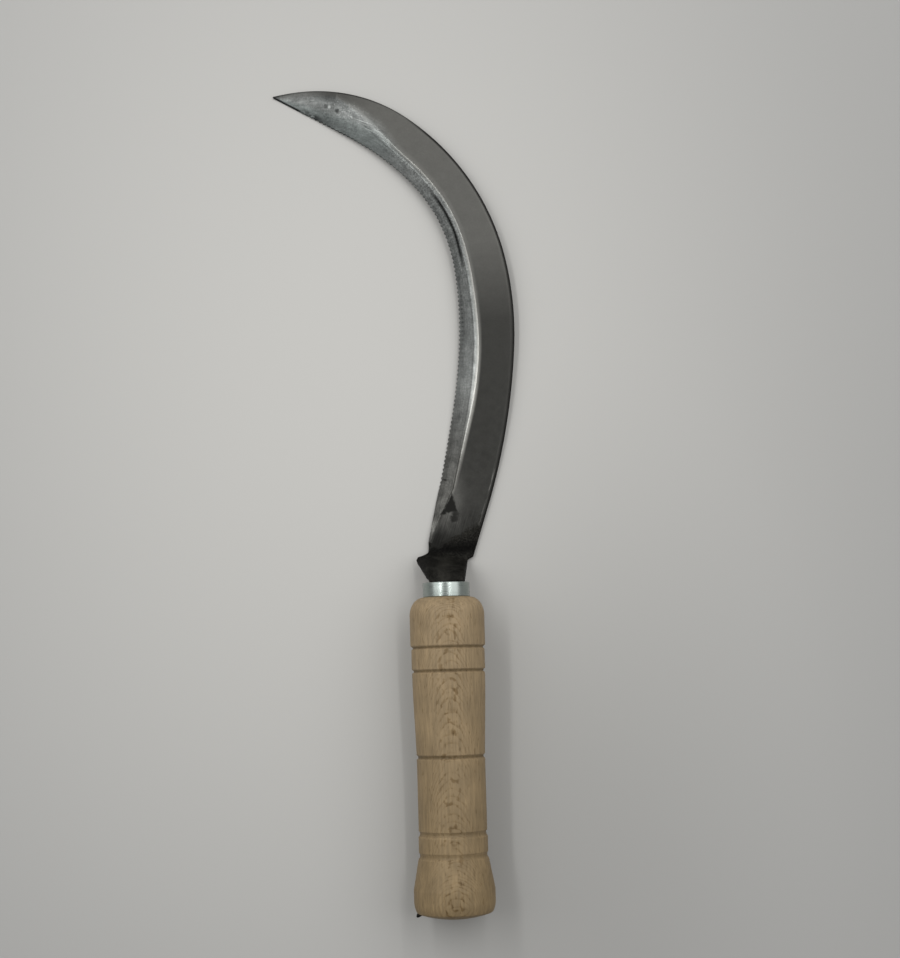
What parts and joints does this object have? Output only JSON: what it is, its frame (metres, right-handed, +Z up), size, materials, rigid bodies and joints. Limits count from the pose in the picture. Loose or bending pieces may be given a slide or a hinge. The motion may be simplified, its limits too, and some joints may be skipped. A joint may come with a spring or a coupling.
{
  "type": "hand sickle",
  "caption": "Hand sickle with a toothed, cranked crescent blade, a steel ferrule and a turned wooden handle that the tang is clinched through.",
  "frame": {"origin": "middle of the footprint, on the surface that the sickle lies on", "axes": "+Z up from that surface, +Y along the handle's axis from the butt towards the blade, +X towards the blade's back and away from the toothed edge"},
  "size_m": [0.1088, 0.3772, 0.0355],
  "materials": {
    "blade_steel": "dark forged steel, ground along the edge, black scale at the neck",
    "ferrule_steel": "bright zinc plate",
    "handle_wood": "turned beech, dull and unvarnished"
  },
  "bodies": {
    "root": {"blade": "blade_steel", "ferrule": "ferrule_steel", "handle": "handle_wood"}
  },
  "joints": []
}
